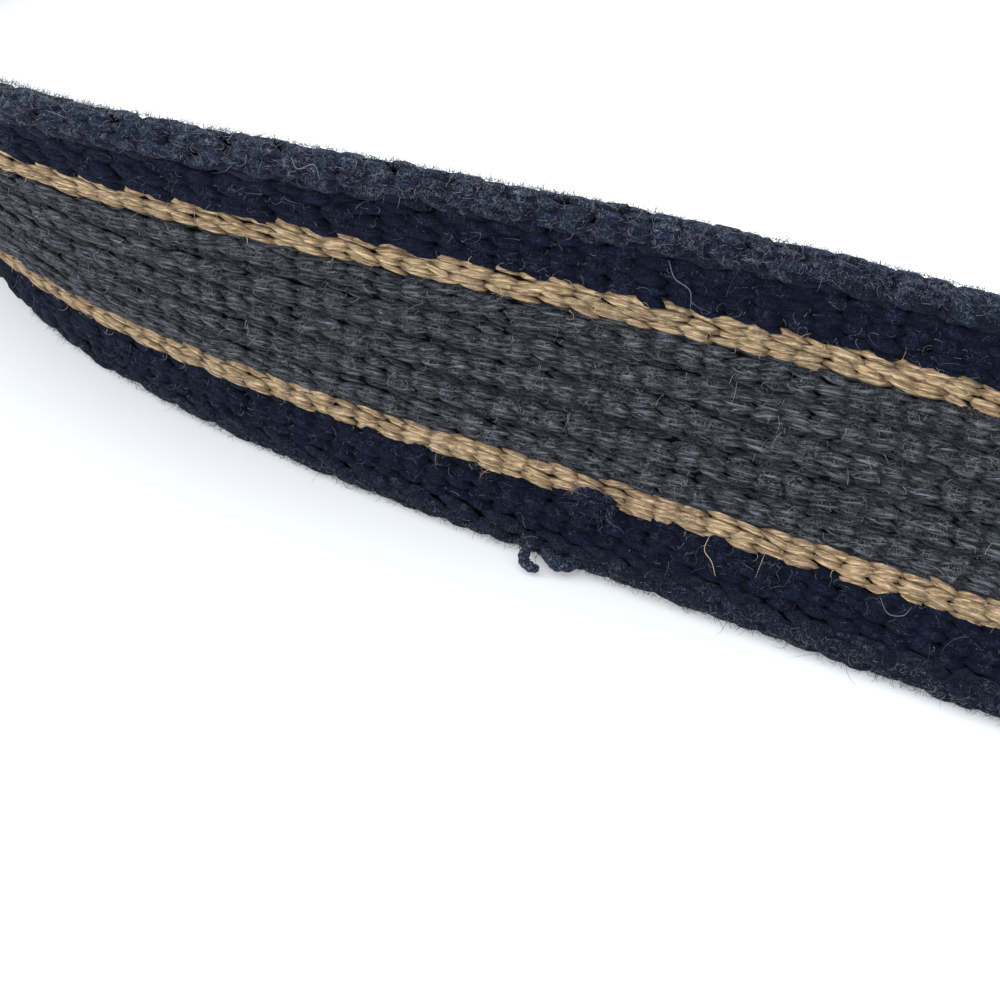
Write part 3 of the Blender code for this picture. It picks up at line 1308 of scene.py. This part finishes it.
WHOLE_ROLL = (-15.0, 195.0)
ROLL_FUZZ = (
    RollFuzz("upper_edge_fuzz", True, WHOLE_ROLL, 4200, 61, 0.9),
    RollFuzz("upper_rim_fuzz", True, (75.0, 160.0), 2700, 63, 0.4),
    RollFuzz("lower_edge_fuzz", False, WHOLE_ROLL, 1600, 62, 0.9),
    RollFuzz("lower_rim_fuzz", False, (10.0, 85.0), 1300, 64, 0.5),
)


@dataclass
class Fuzz:
    """Loose cotton fibres that stand off the yarn."""

    path: StrapPath
    section: WebSection
    near: tuple[float, float] = NEAR_STRETCH
    near_rings: int = 4
    far_rings: int = 3
    thickness: float = 0.000027
    thickness_spread: tuple[float, float] = (0.6, 1.3)
    tip_share: float = 0.3
    curl: tuple[float, float] = (0.5, 3.2)
    tone_power: float = 1.6
    off_roll: float = 0.00005
    under_face: float = 0.0001
    near_roll: Lengths = Lengths(0.0003, 2.0, 0.00024)
    far_roll: Lengths = Lengths(0.0004, 2.0, 0.00024)
    tuft: Lengths = Lengths(0.0004, 2.0, 0.00026)
    face: Lengths = Lengths(0.0004, 1.6, 0.00040)
    face_lie: float = 1.6
    tuft_places: tuple[float, float] = (-0.0212, -0.0166)
    tuft_heights: tuple[float, float] = (0.0068, 0.0100)
    tuft_count: int = 130
    tuft_lift: float = 0.0006

    def model_fibre(self, rings: int) -> bpy.types.Object:
        """One straight fibre of unit length, from the origin up.

        Args:
            rings: how many lengths it is cut into, so that it can curl.

        Returns:
            The fibre.
        """
        deselect_all()
        bpy.ops.mesh.primitive_cone_add(
            vertices=3, radius1=1.0, radius2=self.tip_share, depth=1.0, end_fill_type="NOTHING"
        )
        cut_rod(rings)
        close_ends()
        bpy.ops.object.mode_set(mode="OBJECT")
        bpy.ops.object.shade_smooth()
        return bpy.context.object

    def curl_fibres(
        self, uneven: np.random.Generator, shape: np.ndarray, lengths: np.ndarray, lie: float
    ) -> np.ndarray:
        """Bend each fibre into an arc that sets off in a way of its own.

        Args:
            uneven: the source of their unevenness.
            shape: one straight fibre's points.
            lengths: of the fibres.
            lie: how far they lie down along the strap, less for a smaller number.

        Returns:
            An array of fibres by points by along, across and out, from their roots.
        """
        count = len(lengths)
        way = uneven.uniform(0.0, 2 * math.pi, count)
        down = np.arccos(uneven.uniform(0.0, 1.0, count) ** lie)
        ahead = np.stack([np.sin(down) * np.cos(way), np.sin(down) * np.sin(way), np.cos(down)], 1)
        third = np.cross(ahead, uneven.normal(0.0, 1.0, (count, 3)))
        third /= np.linalg.norm(third, axis=1)[:, None]
        aside = np.cross(third, ahead)
        curl = uneven.uniform(*self.curl, count) * uneven.choice((-1.0, 1.0), count)
        bent = curl[:, None] * shape[None, :, 2]
        reach = (lengths / curl)[:, None]
        thick = (self.thickness * uneven.uniform(*self.thickness_spread, count))[:, None]
        forward = reach * np.sin(bent) - thick * shape[None, :, 0] * np.sin(bent)
        sideways = reach * (1 - np.cos(bent)) + thick * shape[None, :, 0] * np.cos(bent)
        offset = (
            forward[:, :, None] * ahead[:, None]
            + sideways[:, :, None] * aside[:, None]
            + (thick * shape[None, :, 1])[:, :, None] * third[:, None]
        )
        offset[:, :, 2] = np.abs(offset[:, :, 2])
        return offset

    def grow(
        self,
        name: str,
        roots: Roots,
        lengths: np.ndarray,
        seed: int,
        material: bpy.types.Material,
        rings: int,
        lie: float = 1.0,
    ) -> bpy.types.Object:
        """Grow fibres from roots on the flat band, and lay them along the strap.

        Args:
            name: the piece's name.
            roots: where they grow.
            lengths: of the fibres.
            seed: of their unevenness.
            material: their finish.
            rings: how many lengths each is made of.
            lie: how far they lie down along the strap, less for a smaller number.

        Returns:
            The piece of fibres.
        """
        uneven = np.random.default_rng(seed)
        fibre = self.model_fibre(rings)
        shape = read_points(fibre)
        apply_modifier(fibre, "ARRAY", count=len(lengths), use_merge_vertices=False)
        offset = self.curl_fibres(uneven, shape, lengths, lie)
        along, across, out = offset[:, :, 0], offset[:, :, 1], offset[:, :, 2]
        turn_cos, turn_sin = np.cos(roots.facing)[:, None], np.sin(roots.facing)[:, None]
        spots = roots.spots
        flat = np.stack(
            [
                spots[:, 0:1] + along,
                spots[:, 1:2] + across * turn_cos + out * turn_sin,
                spots[:, 2:3] - across * turn_sin + out * turn_cos,
            ],
            2,
        )
        write_points(fibre, self.path.lay(flat.reshape(-1, 3)))
        tones = uneven.uniform(0.0, 1.0, len(lengths)) ** self.tone_power
        write_attribute(fibre, "tone", np.repeat(tones, len(shape)))
        name_piece(fibre, name, material)
        return fibre

    def roll_roots(
        self, count: int, places: tuple[float, float], upper: bool, seed: int, sweep: tuple[float, float]
    ) -> Roots:
        """Roots round one edge roll.

        Args:
            count: how many there are.
            places: the first and the last place.
            upper: whether they are on the upper roll.
            seed: of their unevenness.
            sweep: the angles that they lie between, in degrees, from its outer side over its rim.

        Returns:
            The roots.
        """
        uneven = np.random.default_rng(seed)
        radius = self.section.edge_roll / 2
        centre = self.section.web_width - radius if upper else radius
        sign = 1 if upper else -1
        angle = sign * np.radians(uneven.uniform(*sweep, count))
        deep = radius + self.off_roll
        along = uneven.uniform(*places, count)
        return Roots(np.stack([along, centre + deep * np.sin(angle), deep * np.cos(angle)], 1), angle)

    def face_roots(
        self, count: int, places: tuple[float, float], heights: tuple[float, float], seed: int
    ) -> Roots:
        """Roots on the outer face.

        Args:
            count: how many there are.
            places: the first and the last place.
            heights: the lowest and the highest height.
            seed: of their unevenness.

        Returns:
            The roots.
        """
        uneven = np.random.default_rng(seed)
        along = uneven.uniform(*places, count)
        rise = uneven.uniform(*heights, count)
        depth = np.full(count, self.section.half_thickness - self.under_face)
        return Roots(np.stack([along, rise, depth], 1), np.zeros(count))

    def bands(self) -> tuple[FaceFuzz, ...]:
        """The bands of the outer face that fibres grow on."""
        width = self.section.web_width
        edge = self.section.edge_roll
        tan_low = edge + self.section.navy_rib
        grey_low = tan_low + self.section.tan_rib
        return (
            FaceFuzz("grey_fuzz", Dye.GREY, grey_low, width - grey_low, 1300, 81),
            FaceFuzz("tan_fuzz_low", Dye.TAN, tan_low, grey_low, 160, 82),
            FaceFuzz("tan_fuzz_high", Dye.TAN, width - grey_low, width - tan_low, 160, 83),
            FaceFuzz("navy_fuzz_low", Dye.NAVY, edge, tan_low, 350, 84),
            FaceFuzz("navy_fuzz_high", Dye.NAVY, width - tan_low, width - edge, 350, 85),
        )

    def build(self, materials: dict[Dye, bpy.types.Material]) -> list[bpy.types.Object]:
        """The fuzz of the edges, of the tuft and of the faces.

        Args:
            materials: the fibres' finish for each dye.

        Returns:
            The pieces.
        """
        low, high = self.near
        uneven = np.random.default_rng(5)
        edge = materials[Dye.EDGE]
        rings = self.near_rings
        pieces = []
        for name, upper, sweep, count, seed, lie in ROLL_FUZZ:
            roots = self.roll_roots(count, self.near, upper, seed, sweep)
            lengths = self.near_roll.draw(uneven, count)
            pieces.append(self.grow(name, roots, lengths, seed + 10, edge, rings, lie))
        for name, places, count, seed in (
            ("left", (self.path.start, low), 500, 71),
            ("right", (high, self.path.end), 700, 72),
        ):
            for upper in (True, False):
                roots = self.roll_roots(count, places, upper, seed + upper, WHOLE_ROLL)
                lengths = self.far_roll.draw(uneven, count)
                label = f"{name}_{'upper' if upper else 'lower'}_fuzz"
                pieces.append(self.grow(label, roots, lengths, seed + 20, edge, self.far_rings))
        roots = self.face_roots(self.tuft_count, self.tuft_places, self.tuft_heights, 86)
        roots.spots[:, 2] += self.tuft_lift
        lengths = self.tuft.draw(uneven, self.tuft_count)
        pieces.append(self.grow("tuft_fuzz", roots, lengths, 96, materials[Dye.NAVY], rings))
        for band in self.bands():
            roots = self.face_roots(band.count, self.near, (band.low, band.high), band.seed)
            lengths = self.face.draw(uneven, band.count)
            finish, seed = materials[band.dye], band.seed + 10
            pieces.append(self.grow(band.name, roots, lengths, seed, finish, rings, self.face_lie))
        return pieces


@dataclass
class LooseThread:
    """A yarn or fibre that has come loose, along a smooth line through spots of the flat band."""

    name: str
    spots: tuple[tuple[float, float, float], ...]
    radius: float
    dye: Dye
    sides: int = 6
    rings: int = 28
    plies: float = 0.0
    ply_relief: float = 0.12
    end_share: float = 0.25
    end_taper: float = 0.35
    tone: float = 0.5
    off_axis: tuple[float, float, float] = (0.31, 0.47, 0.83)

    def line(self) -> np.ndarray:
        """Even samples of the smooth line."""
        given = np.array(self.spots)
        given = np.concatenate([[2 * given[0] - given[1]], given, [2 * given[-1] - given[-2]]])
        along = np.linspace(0, len(self.spots) - 1, self.rings + 1)
        index = np.minimum(along.astype(int), len(self.spots) - 2)
        u = (along - index)[:, None]
        a, b, c, d = (given[index + step] for step in range(4))
        bent = (2 * a - 5 * b + 4 * c - d) * u**2 + (3 * b - a - 3 * c + d) * u**3
        return 0.5 * (2 * b + (c - a) * u + bent)

    def thickness(self, share: np.ndarray, angle: np.ndarray) -> np.ndarray:
        """The thread's radius, thinner at its ends and ribbed by its plies.

        Args:
            share: how far along the thread each point is, from 0 to 1.
            angle: where it is round it.

        Returns:
            The radius at each point.
        """
        full = np.sin(np.pi * np.clip(share, 0.02, 0.98)) ** self.end_taper
        thick = self.radius * (self.end_share + (1 - self.end_share) * full)
        if self.plies:
            turned = 2 * (angle - 2 * np.pi * self.plies * share)
            thick = thick * (1 + self.ply_relief * np.cos(turned))
        return thick

    def build(self, path: StrapPath, material: bpy.types.Material) -> bpy.types.Object:
        """The thread as a closed tube.

        Args:
            path: the strap's path that it is laid along.
            material: its finish.

        Returns:
            The finished piece.
        """
        centres = path.lay(self.line())
        deselect_all()
        bpy.ops.mesh.primitive_cylinder_add(vertices=self.sides, radius=1.0, depth=1.0)
        thread = bpy.context.object
        cut_rod(self.rings)
        bpy.ops.object.mode_set(mode="OBJECT")
        bpy.ops.object.shade_smooth()
        shape = read_points(thread)
        share = shape[:, 2]
        ring = np.rint(share * self.rings).astype(int)
        ahead = np.gradient(centres, axis=0)
        ahead /= np.linalg.norm(ahead, axis=1)[:, None]
        aside = np.cross(ahead, self.off_axis)
        aside /= np.linalg.norm(aside, axis=1)[:, None]
        third = np.cross(ahead, aside)
        angle = np.arctan2(shape[:, 1], shape[:, 0])
        outward = np.cos(angle)[:, None] * aside[ring] + np.sin(angle)[:, None] * third[ring]
        write_points(thread, centres[ring] + self.thickness(share, angle)[:, None] * outward)
        for label, value in (("tone", self.tone), ("cast", 0.5), ("sunk", 0.0)):
            write_attribute(thread, label, np.full(len(shape), value))
        name_piece(thread, self.name, material)
        return thread


LOOSE_YARNS = (
    LooseThread(
        "loose_loop",
        (
            (-0.0241, 0.0026, 0.0010),
            (-0.0245, 0.0014, 0.0024),
            (-0.0246, 0.0006, 0.0032),
            (-0.0241, 0.0002, 0.0037),
            (-0.0232, 0.0001, 0.0040),
            (-0.0225, 0.0001, 0.0038),
        ),
        0.00060,
        Dye.EDGE,
        sides=8,
        rings=40,
        plies=3.0,
    ),
    LooseThread(
        "edge_lump",
        (
            (-0.0230, 0.0012, 0.0016),
            (-0.0216, 0.0009, 0.0026),
            (-0.0203, 0.0009, 0.0027),
            (-0.0190, 0.0010, 0.0014),
        ),
        0.00080,
        Dye.EDGE,
        sides=10,
        rings=28,
        plies=1.5,
    ),
    LooseThread(
        "tuft_low",
        (
            (-0.0218, 0.0068, 0.0014),
            (-0.0204, 0.0074, 0.0021),
            (-0.0186, 0.0074, 0.0022),
            (-0.0160, 0.0071, 0.0018),
        ),
        0.00052,
        Dye.NAVY,
        sides=8,
        rings=24,
        plies=2.0,
        tone=0.8,
    ),
    LooseThread(
        "tuft_middle",
        (
            (-0.0214, 0.0079, 0.0014),
            (-0.0202, 0.0085, 0.0022),
            (-0.0184, 0.0085, 0.0023),
            (-0.0161, 0.0083, 0.0019),
        ),
        0.00048,
        Dye.NAVY,
        sides=8,
        rings=24,
        plies=2.0,
        tone=0.6,
    ),
    LooseThread(
        "tuft_high",
        (
            (-0.0212, 0.0085, 0.0013),
            (-0.0198, 0.0093, 0.0021),
            (-0.0184, 0.0094, 0.0023),
            (-0.0165, 0.0088, 0.0018),
        ),
        0.00046,
        Dye.NAVY,
        sides=8,
        rings=24,
        plies=2.0,
        tone=0.9,
    ),
)
STRAY_FIBRES = (
    LooseThread(
        "stray_1",
        (
            (-0.0536, 0.0380, 0.0010),
            (-0.0520, 0.0370, 0.0024),
            (-0.0505, 0.0376, 0.0022),
            (-0.0498, 0.0362, 0.0024),
        ),
        0.000030,
        Dye.EDGE,
        tone=1.0,
    ),
    LooseThread(
        "stray_2",
        (
            (-0.0166, 0.0345, 0.0020),
            (-0.0156, 0.0330, 0.0024),
            (-0.0140, 0.0322, 0.0025),
            (-0.0136, 0.0305, 0.0023),
        ),
        0.000030,
        Dye.EDGE,
        tone=1.0,
    ),
    LooseThread(
        "stray_3",
        (
            (-0.0066, 0.0085, 0.0020),
            (-0.0066, 0.0072, 0.0026),
            (-0.0056, 0.0062, 0.0026),
            (-0.0049, 0.0048, 0.0024),
        ),
        0.000034,
        Dye.TAN,
        tone=0.3,
    ),
    LooseThread(
        "stray_4",
        (
            (0.0108, 0.0078, 0.0022),
            (0.0120, 0.0066, 0.0026),
            (0.0134, 0.0068, 0.0024),
            (0.0139, 0.0078, 0.0022),
        ),
        0.000028,
        Dye.EDGE,
        tone=1.0,
    ),
)


@dataclass
class Studio:
    """The white surface, soft light from behind and above, and the camera.

    The room is how bright it is to the left and to the right. The focal length is in pixels of
    a frame of frame_pixels, and the stand off is from the floor at the front's middle.
    """

    path: StrapPath
    section: WebSection
    focal_pixels: float = 1700.0
    frame_pixels: float = 1000.0
    sensor: float = 36.0
    room: tuple[float, float] = (3.15, 0.55)
    stand_off: tuple[float, float, float] = (0.02568, -0.13069, 0.11082)
    azimuth: float = math.radians(-22.788)
    elevation: float = math.radians(36.892)
    roll: float = math.radians(-5.118)
    floor_size: float = 4.0
    near_clip: float = 0.005
    air: tuple[float, float, float] = (0.93, 0.96, 1.0)
    window_place: tuple[float, float, float] = (-0.35, 0.75, 0.85)
    window_size: float = 0.6
    window_power: float = 7.0
    window_colour: tuple[float, float, float] = (1.0, 0.99, 0.97)

    def front_point(self) -> Vector:
        """The floor under the lower edge roll's centre at the front's middle."""
        point = self.path.lay(np.array([[0.0, self.section.edge_roll / 2, 0.0]]))[0]
        return Vector((point[0], point[1], 0.0))

    def set_camera(self) -> bpy.types.Object:
        """The camera, at the photograph's angle."""
        data = bpy.data.cameras.new("camera")
        data.sensor_width = self.sensor
        data.lens = self.sensor * self.focal_pixels / self.frame_pixels
        data.clip_start = self.near_clip
        camera = bpy.data.objects.new("camera", data)
        bpy.context.scene.collection.objects.link(camera)
        level = math.cos(self.elevation)
        east, north = math.sin(self.azimuth), math.cos(self.azimuth)
        ahead = Vector((east * level, north * level, -math.sin(self.elevation)))
        right = Vector((north, -east, 0.0))
        down = ahead.cross(right)
        turned_right = math.cos(self.roll) * right + math.sin(self.roll) * down
        turned_down = math.cos(self.roll) * down - math.sin(self.roll) * right
        turn = Matrix((turned_right, -turned_down, -ahead)).transposed().to_4x4()
        camera.matrix_world = Matrix.Translation(self.front_point() + Vector(self.stand_off)) @ turn
        bpy.context.scene.camera = camera
        return camera

    def add_window(self) -> None:
        """The soft light of a window behind the belt and to the left, which faces its front."""
        data = bpy.data.lights.new("window", "AREA")
        data.size = self.window_size
        data.energy = self.window_power
        data.color = self.window_colour
        light = bpy.data.objects.new("window", data)
        bpy.context.scene.collection.objects.link(light)
        place = Vector(self.window_place)
        light.location = self.front_point() + place
        light.rotation_euler = (-place).to_track_quat("-Z", "Y").to_euler()

    def light_room(self) -> None:
        """A white room that is brighter to the left, as beside a window."""
        world = bpy.data.worlds.new("room")
        bpy.context.scene.world = world
        bpy.context.scene.view_settings.view_transform = "Standard"
        world.use_nodes = True
        nodes, links = world.node_tree.nodes, world.node_tree.links
        background = nodes["Background"]
        background.inputs["Color"].default_value = (*self.air, 1.0)
        direction = nodes.new("ShaderNodeTexCoord")
        part = nodes.new("ShaderNodeSeparateXYZ")
        fade = nodes.new("ShaderNodeMapRange")
        limits = zip(("From Min", "From Max", "To Min", "To Max"), (-1.0, 1.0, *self.room))
        for name, value in limits:
            fade.inputs[name].default_value = value
        links.new(direction.outputs["Generated"], part.inputs["Vector"])
        links.new(part.outputs["X"], fade.inputs["Value"])
        links.new(fade.outputs["Result"], background.inputs["Strength"])

    def build(self) -> None:
        """Floor, surroundings, window and camera."""
        deselect_all()
        bpy.ops.mesh.primitive_plane_add(size=self.floor_size)
        floor = bpy.context.object
        floor.name = "floor"
        floor.data.materials.append(FloorFinish().material())
        self.light_room()
        self.add_window()
        self.set_camera()


def hand_over(piece: bpy.types.Object, node: str | None = None) -> None:
    """Fix a finished piece to the belt.

    Args:
        piece: the piece.
        node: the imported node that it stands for, if any.
    """
    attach(piece, BODY)
    if node is not None:
        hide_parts(node)
    piece.data.calc_loop_triangles()
    LOG.info("%s: %d triangles", piece.name, len(piece.data.loop_triangles))


def main() -> None:
    """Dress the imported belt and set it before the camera."""
    logging.basicConfig(level=logging.INFO, format="%(name)s: %(message)s")
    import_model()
    path = StrapPath()
    section = WebSection()
    Studio(path, section).build()
    weave = Weave(path, section)
    for piece in weave.build():
        hand_over(piece, STRAP_NODE)
    hand_over(Core(path, section).build(), STRAP_NODE)
    fibres = {dye: finish.material() for dye, finish in FIBRES.items()}
    for piece in Fuzz(path, section).build(fibres):
        hand_over(piece, STRAP_NODE)
    for thread in LOOSE_YARNS:
        hand_over(thread.build(path, weave.materials[thread.dye]), STRAP_NODE)
    for thread in STRAY_FIBRES:
        hand_over(thread.build(path, fibres[thread.dye]), STRAP_NODE)
    hand_over(BuckleSleeve().build(), BUCKLE_NODE)


if __name__ == "__main__":
    main()
